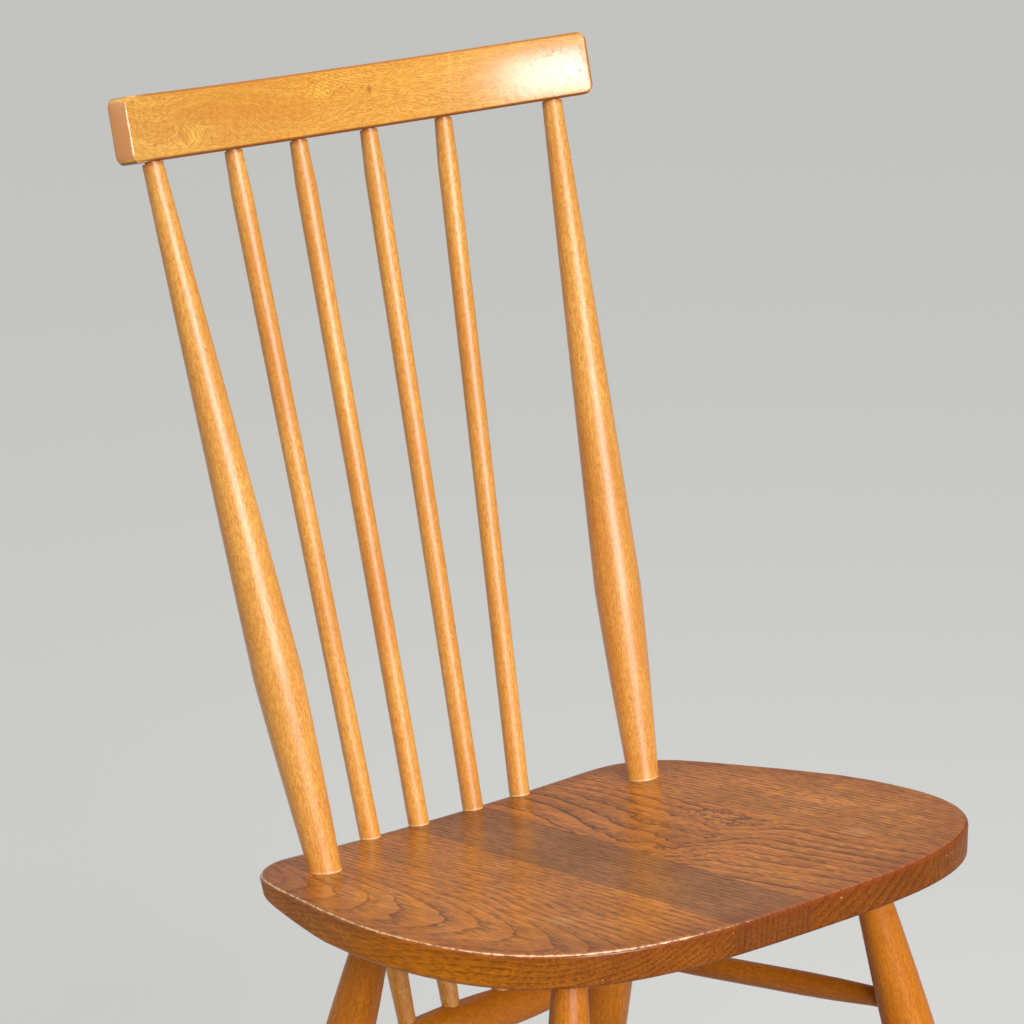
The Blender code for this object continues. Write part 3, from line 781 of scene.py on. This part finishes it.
def crest_beech(finish, back):
    """Beech of the crest rail: flowing figure, a few old marks, darker end grain."""
    made, tree = start_material("crest_beech")
    place = stored(tree, "wood_place", "Vector")
    height, behind, along = split(place)
    deep, fleck = finish.beech_deep, finish.fleck
    flow = noise(place * (24.0, 24.0, 10.0), roughness=0.35)
    bent = combine(flow * 0.05 + height, behind, along)
    base, relief, rough = beech(bent, finish.crest, deep, fleck, drift=0.30, mottled=0.50)

    slope = along * (along * -1.0 + 0.35)
    contour = ridge(((height + slope) * 580.0 + flow * 24.0).calc("FRACT"), 0.0, 0.5, 0.5, 1.0)
    swirl = mask(place, (-0.002, 0.0, -0.045), (0.05, 0.05, 0.10), ragged=0.1)
    amber = mask(place, (0.006, 0.0, -0.075), (0.035, 0.05, 0.075), ragged=0.3)
    base = layered(base, (contour * (swirl * 0.08 + 0.40), deep), (amber * 0.26, deep))

    front = step(behind, -0.004, -0.006)
    for centre, size, strength, ragged in CREST_MARKS:
        mark = mask(place, centre, size, ragged)
        base = layered(base, (mark * front * strength, fleck))
    scratch = step(abs(along - (height * 0.18 + 0.0911)), 0.0004, 0.0001)
    crazed = mask(place, (0.002, 0.0, 0.172), (0.022, 0.05, 0.028), ragged=0.6)
    crack = noise(place * (110.0, 110.0, 150.0), detail=3.0, roughness=0.6)
    crack = step(abs(crack - 0.5), 0.014, 0.004) * crazed * front

    half = back.crest_length / 2
    ends = step(abs(along), half - 0.0016, half - 0.0004)
    edge = stored(tree, "edge")
    worn_end = step(along, -0.165, -0.180)
    # The underside edge is painted darker: partly stain, partly painted shade where the edge faces
    # down. The rounded edges are also painted darker, except at the worn left end
    below = step(height, -0.0186, -0.0202)
    worn = effect(wear, place, edge=edge, amount=worn_end)["Worn"]
    base = layered(base, (scratch * (front * 0.35), finish.bare_edge), (ends, finish.end_grain),
                   (edge * (worn_end * -0.5 + 0.8), fleck), (below * 0.8, finish.elm_end),
                   (worn * (worn_end * 0.8), finish.bare_edge), (crack * 0.8, fleck))
    dull = crack.calc("MAXIMUM", edge).calc("MAXIMUM", below)
    lacquer(base, relief, rough, finish.rail_gloss, coat=dull * -0.7 + 1.0)
    return made


def board_elm(name, finish, ground, line_strength, pore_strength, end_stain, spots=(), snarls=(),
              **rings):
    """Stained open grained wood of one seat board, with rings through its whole body.

    Pale spots and torn snarls of grain each have a centre, a half size and a strength.
    """
    made, tree = start_material(name)
    dark, bare = finish.elm_line, finish.bare_edge
    place = Value(add_node(tree, "TexCoord").outputs["Object"])
    x, y, z = split(place)
    grain = combine(x, z, y)
    figure = effect(growth_rings, place, **rings)
    fibre = effect(wood_fibre, stretch(grain, 0.9, 2.2))
    edge, band, ends = (stored(tree, part) for part in ("edge", "band", "end_grain"))
    sides = band - ends
    base = layered(ground, (sides * 0.95, finish.elm_side), (ends * end_stain, finish.elm_end),
                   (figure["Tone"] * 0.12, dark), (fibre["Drift"] * 0.22, dark),
                   (fibre["Streak"] * 0.30, dark))

    lines = (sides * -0.65 + 1.0) * line_strength
    pores = (sides * -0.4 + 1.0) * pore_strength
    base = layered(base, (figure["Shade"] * lines * 0.3, dark), (figure["Line"] * lines, dark),
                   (figure["Pore"] * pores, dark))
    for centre, size, strength in spots:
        base = layered(base, (mask(place, centre, size, ragged=0.3) * strength, bare))
    for centre, size, strength in snarls:
        torn = noise(stretch(grain, 150.0, 110.0), detail=3.0, roughness=0.6, distortion=1.5)
        near = mask(place, centre, size, ragged=0.5)
        base = layered(base, (step(torn, 0.52, 0.58) * near * strength, dark))

    # On the left the rim's broken pale line is worn wood and also a painted highlight on the
    # rounded rim; the lacquer coat is thicker there too
    worn_left = step(x, 0.0, -0.12)
    worn = effect(wear, place, edge=edge ** 3.5, amount=worn_left)
    gathered = edge ** 6.0 * step(x, -0.06, 0.03, 0.25, 0.95)
    base = layered(base, (stored(tree, "rim_stain") * 0.36, finish.rim_red),
                   (gathered, finish.rim_red), (worn["Worn"] * worn_left * 0.85, bare),
                   (worn["Nick"] * ends.calc("MAXIMUM", edge) * 0.6, bare))
    height = figure["Line"] * -0.5 - figure["Pore"]
    coat = edge * worn_left * 0.7 + (band * -0.50 + 0.54)
    lacquer(base, height, fibre["Drift"] * 0.10 + 0.40, finish.seat_gloss,
            coat=coat.calc("MINIMUM", 1.0), strength=0.15, depth=0.0003)
    return made


# Operators
SIDES = (("left", -1), ("right", 1))
# Glue joints between the seat's boards: x at the back edge and at the front edge
LEFT_JOINT, MIDDLE_JOINT, RIGHT_JOINT = (-0.032, -0.059), (0.030, 0.001), (0.112, 0.112)
# What each point of the seat stores for its finish
SEAT_LAYERS = ("edge", "band", "end_grain", "rim_stain")


def rounded(place):
    """Point cut to whole micrometres, so that it can be looked up."""
    return tuple(round(part, 6) for part in place)


class CHAIR_OT_seat(Operator):
    """Model the seat and saw it into its four boards"""
    bl_idname = "chair.seat"
    bl_label = "Seat Boards"
    bl_options = {"REGISTER", "UNDO"}

    def blank(self, seat):
        """Whole seat: a ring of points extruded ring by ring over the top, rim and underside."""
        rings = seat_rings(seat)
        start_piece()
        bpy.ops.mesh.primitive_circle_add(vertices=seat.outline_points, radius=1.0)
        piece = bpy.context.object
        for vert, place in zip(piece.data.vertices, rings[0][0]):
            vert.co = place
        mesh = edit(piece, "VERT")
        for name in SEAT_LAYERS:
            mesh.verts.layers.float.new(name)
        facing = facing_front(seat_outline(seat, 0.0))
        order = {rounded(point): index for index, point in enumerate(rings[0][0])}
        bpy.ops.mesh.select_all(action="SELECT")
        for points, worn, upright, stained in rings[1:]:
            bpy.ops.mesh.extrude_region_move()
            mesh = bmesh.from_edit_mesh(piece.data)
            layers = [mesh.verts.layers.float[name] for name in SEAT_LAYERS]
            placed = {}
            for vert in mesh.verts:
                if vert.select:
                    index = order[rounded(vert.co)]
                    vert.co = points[index]
                    stored_here = (worn, upright, upright * facing[index], stained)
                    for layer, number in zip(layers, stored_here):
                        vert[layer] = number
                    placed[rounded(vert.co)] = index
            order = placed
        bpy.ops.mesh.edge_face_add()
        bpy.ops.mesh.select_all(action="DESELECT")
        mesh = bmesh.from_edit_mesh(piece.data)
        for edge in mesh.edges:
            edge.select_set(edge.is_boundary)
        bpy.ops.mesh.edge_face_add()
        bpy.ops.mesh.select_all(action="SELECT")
        bpy.ops.mesh.normals_make_consistent(inside=False)
        bpy.ops.object.mode_set(mode="OBJECT")
        return piece

    def board(self, blank, seat, name, joints):
        """Copy of the blank sawn along its glue joints: the one at its left, then at its right."""
        pick(blank)
        bpy.ops.object.duplicate()
        board = bpy.context.object
        board.name = board.data.name = name
        for joint, side in zip(joints, (1, -1)):
            if joint:
                back, front = (Vector((x + side * seat.joint_gap / 2, y, 0.0))
                               for x, y in zip(joint, (seat.back, -seat.front)))
                run = back - front
                saw(board, front, Vector((run.y, -run.x, 0.0)) * side)
        return board

    def execute(self, context):
        seat, finish = context.scene.chair_seat, context.scene.chair_finish
        boards = (
            ("left", (None, LEFT_JOINT),
             board_elm("elm_left", finish, finish.elm_warm,
                       line_strength=0.72, pore_strength=0.62, end_stain=0.70,
                       spots=(((-0.118, -0.134, 0.437), (0.011, 0.013, 0.02), 0.12),),
                       pith_x=-0.170, pith_z=0.513, lean=-0.08, climb=0.17, ring_width=0.0036,
                       wander=0.0030)),
            ("centre_left", (LEFT_JOINT, MIDDLE_JOINT),
             board_elm("elm_centre_left", finish, finish.elm_brown,
                       line_strength=0.66, pore_strength=0.64, end_stain=0.68,
                       pith_x=-0.30, pith_z=0.46, lean=0.05, ring_width=0.0042,
                       wander=0.0012)),
            ("centre_right", (MIDDLE_JOINT, RIGHT_JOINT),
             board_elm("elm_centre_right", finish, finish.elm_figured,
                       line_strength=1.0, pore_strength=0.64, end_stain=0.75,
                       snarls=(((0.097, -0.034, 0.433), (0.015, 0.055, 0.03), 0.80),
                               ((0.032, -0.070, 0.433), (0.024, 0.022, 0.03), 0.35)),
                       pith_x=-0.09, pith_z=0.66, ring_width=0.0066, wander=0.0045, turmoil=3.0,
                       bulge=0.040, bulge_front=-0.110, bulge_peak=-0.054, bulge_back=0.125,
                       bulge_edge=0.200)),
            ("right", (RIGHT_JOINT, None),
             board_elm("elm_right", finish, finish.elm_red,
                       line_strength=0.60, pore_strength=0.64, end_stain=0.75,
                       spots=(((0.118, -0.142, 0.437), (0.010, 0.013, 0.02), 0.12),),
                       pith_x=0.45, pith_z=0.47, ring_width=0.0042, wander=0.0014)),
        )
        blank = self.blank(seat)
        for name, joints, material in boards:
            board = self.board(blank, seat, name + "_board", joints)
            finish_piece(board, material, "seat_elm", "seat_board_" + name)
        bpy.data.objects.remove(blank)
        return {"FINISHED"}


class CHAIR_OT_crest_rail(Operator):
    """Model the bowed crest rail"""
    bl_idname = "chair.crest_rail"
    bl_label = "Crest Rail"
    bl_options = {"REGISTER", "UNDO"}

    def edge_share(self, back, place):
        """1 in the middle of a rounded edge, 0 on the flat faces."""
        across = (abs(place.y) - back.crest_thickness / 2) / back.crest_edge + 1
        beyond = max(abs(place.x) - back.crest_length / 2, abs(place.z) - back.crest_height / 2)
        outward = beyond / back.crest_edge + 1
        if across <= 0 or outward <= 0:
            return 0.0
        return 2 * across * outward / (across ** 2 + outward ** 2)

    def execute(self, context):
        seat, back = context.scene.chair_seat, context.scene.chair_back
        start_piece()
        bpy.ops.mesh.primitive_cube_add(size=1.0)
        rail = context.object
        rail.name = rail.data.name = "top_rail"
        rail.scale = (back.crest_length, back.crest_thickness, back.crest_height)
        bpy.ops.object.transform_apply(location=False, rotation=False, scale=True)
        select_edges(rail, lambda edge: abs(edge.verts[0].co.y - edge.verts[1].co.y)
                     > back.crest_thickness / 2)
        bpy.ops.mesh.bevel(offset=back.crest_corner, segments=7, affect="EDGES")
        bpy.ops.mesh.select_all(action="DESELECT")
        bpy.ops.mesh.edges_select_sharp(sharpness=math.radians(50))
        bpy.ops.mesh.bevel(offset=back.crest_edge, segments=4, affect="EDGES")
        inner = back.crest_length / 2 - back.crest_corner
        for x in [-inner] + evenly(-inner, inner, 60):
            edit(rail, "FACE")
            bpy.ops.mesh.select_all(action="SELECT")
            bpy.ops.mesh.bisect(plane_co=(x, 0.0, 0.0), plane_no=(1.0, 0.0, 0.0))
        bpy.ops.object.mode_set(mode="OBJECT")
        places = [vert.co.copy() for vert in rail.data.vertices]
        store_places(rail, [place.zyx for place in places])
        store_numbers(rail, "edge", [self.edge_share(back, place) for place in places])
        for vert in rail.data.vertices:
            x, behind, height = vert.co
            vert.co = crest_point(back, seat, x, height + back.crest_height / 2, -behind)
        material = crest_beech(context.scene.chair_finish, back)
        finish_piece(rail, material, "stick_beech", "crest_rail")
        return {"FINISHED"}


class CHAIR_OT_back_posts(Operator):
    """Turn the two outer back posts"""
    bl_idname = "chair.back_posts"
    bl_label = "Back Posts"
    bl_options = {"REGISTER", "UNDO"}

    def execute(self, context):
        seat, back = context.scene.chair_seat, context.scene.chair_back
        material = stick_beech("post_beech", context.scene.chair_finish)
        for number, (word, side) in enumerate(SIDES, POST_NUMBER):
            foot, top = stick_line(back, seat, side * back.post_base_x, back.post_forward,
                                   side * back.post_crest_x)
            axis = top - foot
            shoulder = axis.length - back.post_gap
            swell = back.post_swell_share * axis.length
            profile = turned_profile(
                (-back.post_depth, back.post_base), (0.0, back.post_base),
                (seat.rim_round, back.post_base), (swell, back.post_swell, 18, swelled),
                (shoulder, back.post_top, 30, lambda amount: amount ** back.post_taper_power),
                (shoulder, back.post_tenon),
                (axis.length + back.tenon_length, back.post_tenon))
            post = turned_piece("post_" + word, foot, axis, profile, number)
            mark_stick_ends(post, seat, foot, axis, shoulder)
            finish_piece(post, material, "stick_beech", "back_post_" + word)
        return {"FINISHED"}


class CHAIR_OT_spindles(Operator):
    """Turn the four thin spindles, which run through the seat to the low rail"""
    bl_idname = "chair.spindles"
    bl_label = "Spindles"
    bl_options = {"REGISTER", "UNDO"}

    def execute(self, context):
        seat, back, base = (context.scene.chair_seat, context.scene.chair_back,
                            context.scene.chair_base)
        material = stick_beech("spindle_beech", context.scene.chair_finish)
        places = (("inner", back.inner_foot_x, back.inner_top_x),
                  ("outer", back.outer_foot_x, back.outer_top_x))
        number = SPINDLE_NUMBER
        for word, side in SIDES:
            for place, foot_x, top_x in places:
                foot, top = stick_line(back, seat, side * foot_x, 0.0, side * top_x)
                axis = top - foot
                shoulder = axis.length - back.spindle_gap
                below = (foot.z - base.rail_z) / axis.normalized().z
                neck = -below + base.rail / 2
                profile = turned_profile(
                    (-below + back.foot_gap, back.spindle_foot),
                    (neck + back.foot_straight, back.spindle_foot),
                    (neck + back.spindle_taper, back.spindle, 8, straight),
                    (shoulder - back.spindle_taper, back.spindle, 24, straight),
                    (shoulder, back.spindle_top, 8, straight), (shoulder, back.spindle_tenon),
                    (axis.length + back.tenon_length, back.spindle_tenon))
                stick = turned_piece("spindle_" + place + "_" + word, foot, axis, profile, number)
                mark_stick_ends(stick, seat, foot, axis, shoulder)
                finish_piece(stick, material, "stick_beech", place + "_spindle_" + word)
                number += 1
        return {"FINISHED"}


class CHAIR_OT_legs(Operator):
    """Turn the four splayed legs and saw their feet level"""
    bl_idname = "chair.legs"
    bl_label = "Legs"
    bl_options = {"REGISTER", "UNDO"}

    def execute(self, context):
        seat, base = context.scene.chair_seat, context.scene.chair_base
        material = under_beech("leg_beech", context.scene.chair_finish)
        number = LEG_NUMBER
        for word, side in SIDES:
            for place, line in (("front", front_leg_line(base, seat, side)),
                                ("back", back_leg_line(base, seat, side))):
                top, down = line
                full = top.z * down.length
                profile = turned_profile(
                    (-base.leg_depth, base.leg_top), (0.0, base.leg_top),
                    (base.leg_neck, base.leg_top),
                    (base.leg_swell_below, base.leg_swell, 18, swelled),
                    (full, base.leg_foot, 22, lambda amount: amount ** base.leg_taper_power),
                    (full + base.leg_foot, base.leg_foot))
                leg = turned_piece("leg_" + place + "_" + word, top, down, profile, number)
                saw(leg, (0.0, 0.0, base.foot_clear), (0.0, 0.0, 1.0))
                bpy.ops.mesh.bevel(offset=base.foot_bevel, segments=2, affect="EDGES")
                bpy.ops.object.mode_set(mode="OBJECT")
                finish_piece(leg, material, "under_beech", place + "_leg_" + word)
                number += 1
        return {"FINISHED"}


def between_legs(base, start_line, end_line, start_height, end_height):
    """Ends of a rail between two legs, short of their axes."""
    start, end = at_height(start_line, start_height), at_height(end_line, end_height)
    inward = (end - start).normalized() * base.short_of_axis
    return start + inward, end - inward


class CHAIR_OT_stretchers(Operator):
    """Turn the front and side stretchers"""
    bl_idname = "chair.stretchers"
    bl_label = "Stretchers"
    bl_options = {"REGISTER", "UNDO"}

    def execute(self, context):
        seat, base = context.scene.chair_seat, context.scene.chair_base
        material = under_beech("stretcher_beech", context.scene.chair_finish)
        fronts = [front_leg_line(base, seat, side) for side in (-1, 1)]
        backs = [back_leg_line(base, seat, side) for side in (-1, 1)]
        side_heights = (base.side_front_z, base.side_back_z)
        places = (("bar_left", "side_stretcher_left", fronts[0], backs[0], side_heights),
                  ("bar_right", "side_stretcher_right", fronts[1], backs[1], side_heights),
                  ("bar_front", "front_stretcher", *fronts, (base.front_z, base.front_z)))
        shoulder = (base.stretcher_end
                    + (base.stretcher - base.stretcher_end) * base.stretcher_shoulder)
        near = turned_profile(
            (0.0, base.stretcher_end), (base.straight_end, base.stretcher_end),
            (base.straight_end + base.stretcher_taper / 2, shoulder, 6, straight),
            (base.straight_end + base.stretcher_taper, base.stretcher, 6, straight))
        for number, (name, node, first, second, heights) in enumerate(places, BAR_NUMBER):
            start, end = between_legs(base, first, second, *heights)
            axis = end - start
            far = [(axis.length - distance, radius) for distance, radius in reversed(near)]
            bar = turned_piece(name, start, axis, near + far, number)
            finish_piece(bar, material, "under_beech", node)
        return {"FINISHED"}


class CHAIR_OT_spindle_rail(Operator):
    """Turn the thick low rail that holds the spindles' feet"""
    bl_idname = "chair.spindle_rail"
    bl_label = "Low Rail"
    bl_options = {"REGISTER", "UNDO"}

    def execute(self, context):
        seat, base = context.scene.chair_seat, context.scene.chair_base
        start, end = between_legs(base, back_leg_line(base, seat, -1),
                                  back_leg_line(base, seat, 1), base.rail_z, base.rail_z)
        axis = end - start

        def fullness(amount):
            """Share of the swelling: none at the ends and all of it in the middle."""
            return math.sin(math.pi * min(amount, 1 - amount)) ** base.rail_fullness

        profile = turned_profile((0.0, base.rail_end), (base.straight_end, base.rail_end),
                                 (axis.length - base.straight_end, base.rail, 36, fullness),
                                 (axis.length, base.rail_end))
        rail = turned_piece("low_rail", start, axis, profile, LOW_RAIL_NUMBER)
        material = under_beech("low_rail_beech", context.scene.chair_finish)
        finish_piece(rail, material, "under_beech", "spindle_rail")
        return {"FINISHED"}


CAMERA_PLACE = (-1.5265, -1.9095, 1.2049)
# Name, place, point aimed at, width, height and tint of each lamp
LAMPS = (("main_light", (-0.68, -3.2, 1.40), (0.0, 0.0, 0.75), 2.15, 1.0, (1.0, 0.99, 1.08)),
         ("side_light", (-3.0, 0.6, 1.9), (0.0, 0.0, 0.6), 1.6, 1.6, (0.95, 0.98, 1.0)))


class CHAIR_OT_stage(Operator):
    """Set the floor, the soft lights and the camera"""
    bl_idname = "chair.stage"
    bl_label = "Floor, Lights and Camera"
    bl_options = {"REGISTER", "UNDO"}

    def looked_at(self, tree):
        """1 where the camera, a reflection or a see-through surface looks at it."""
        path = add_node(tree, "LightPath").outputs
        camera, glossy, clear = (Value(path[f"Is {kind} Ray"])
                                 for kind in ("Camera", "Glossy", "Transmission"))
        return camera.calc("MAXIMUM", glossy).calc("MAXIMUM", clear)

    def execute(self, context):
        scene, stage = context.scene, context.scene.chair_stage
        scene.view_settings.view_transform = "Standard"
        start_piece()
        bpy.ops.mesh.primitive_plane_add(size=60.0)
        floor = context.object
        floor.name = "floor"
        material, tree = start_material("floor_paint")
        shader = tree.nodes["Principled BSDF"]
        feed(shader.inputs["Base Color"],
             layered(stage.bounce, (self.looked_at(tree), stage.floor)))
        feed(shader.inputs["Roughness"], 0.9)
        feed(shader.inputs["Specular IOR Level"], 0.0)
        floor.data.materials.append(material)
        floor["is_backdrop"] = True
        self.light_world(scene, stage)
        self.light_lamps(stage)
        self.aim_camera(scene, stage)
        return {"FINISHED"}

    def light_world(self, scene, stage):
        """Soft light from all round, dimmer above the horizon and bright overhead."""
        world = bpy.data.worlds.new("studio")
        scene.world = world
        world.use_nodes = True
        tree = world.node_tree
        up = split(Value(add_node(tree, "TexCoord").outputs["Generated"]))[2]
        level = (step(up, 0.0, 0.12, stage.horizon, stage.middle)
                 + step(up, 0.45, 0.80, 0.0, stage.ceiling - stage.middle))
        feed(tree.nodes["Background"].inputs["Color"], combine(level, level, level))

    def light_lamps(self, stage):
        """Large soft light in front and a soft one at the left, each aimed at the chair."""
        powers = (stage.key_power, stage.fill_power)
        for (name, place, target, wide, tall, tint), power in zip(LAMPS, powers):
            aim = (Vector(target) - Vector(place)).to_track_quat("-Z", "Y")
            bpy.ops.object.light_add(type="AREA", location=place, rotation=aim.to_euler())
            lamp = bpy.context.object
            lamp.name = name
            lamp.data.shape = "RECTANGLE"
            lamp.data.size, lamp.data.size_y = wide, tall
            lamp.data.energy = power
            lamp.data.color = tint
            lamp.data.spread = stage.spread
            lamp.visible_camera = False

    def aim_camera(self, scene, stage):
        turn = (Matrix.Rotation(-stage.camera_turn, 3, "Z")
                @ Matrix.Rotation(math.pi / 2 - stage.camera_pitch, 3, "X")
                @ Matrix.Rotation(stage.camera_roll, 3, "Z"))
        bpy.ops.object.camera_add(location=CAMERA_PLACE, rotation=turn.to_euler())
        camera = bpy.context.object
        camera.name = "camera"
        camera.data.sensor_width = 36.0
        camera.data.lens = stage.lens
        camera.data.clip_start, camera.data.clip_end = 0.05, 100.0
        scene.camera = camera


class CHAIR_PT_pieces(Panel):
    """Pieces of the chair and the sizes and colours that they follow"""
    bl_label = "Spindle Back Chair"
    bl_idname = "CHAIR_PT_pieces"
    bl_space_type = "VIEW_3D"
    bl_region_type = "UI"
    bl_category = "Chair"

    def draw(self, context):
        layout = self.layout
        for operator in PIECE_OPERATORS:
            layout.operator(operator.bl_idname)
        for title, name, group in SETTING_GROUPS:
            box = layout.box()
            box.label(text=title)
            settings = getattr(context.scene, name)
            for key in group.__annotations__:
                box.prop(settings, key)


PIECE_OPERATORS = (CHAIR_OT_stage, CHAIR_OT_seat, CHAIR_OT_crest_rail, CHAIR_OT_back_posts,
                   CHAIR_OT_spindles, CHAIR_OT_legs, CHAIR_OT_stretchers, CHAIR_OT_spindle_rail)
SETTING_GROUPS = (("Seat", "chair_seat", SeatSettings), ("Back", "chair_back", BackSettings),
                  ("Base", "chair_base", BaseSettings),
                  ("Finish", "chair_finish", FinishSettings),
                  ("Stage", "chair_stage", StageSettings))
CLASSES = (*(group for title, name, group in SETTING_GROUPS), *PIECE_OPERATORS, CHAIR_PT_pieces)


def register():
    for item in CLASSES:
        bpy.utils.register_class(item)
    for title, name, group in SETTING_GROUPS:
        setattr(bpy.types.Scene, name, PointerProperty(type=group, name=title))


def unregister():
    for title, name, group in SETTING_GROUPS:
        delattr(bpy.types.Scene, name)
    for item in reversed(CLASSES):
        bpy.utils.unregister_class(item)


def main():
    register()
    bpy.ops.chair.stage()
    bpy.ops.chair.seat()
    bpy.ops.chair.crest_rail()
    bpy.ops.chair.back_posts()
    bpy.ops.chair.spindles()
    bpy.ops.chair.legs()
    bpy.ops.chair.stretchers()
    bpy.ops.chair.spindle_rail()
    low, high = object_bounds()


if __name__ == "__main__":
    main()
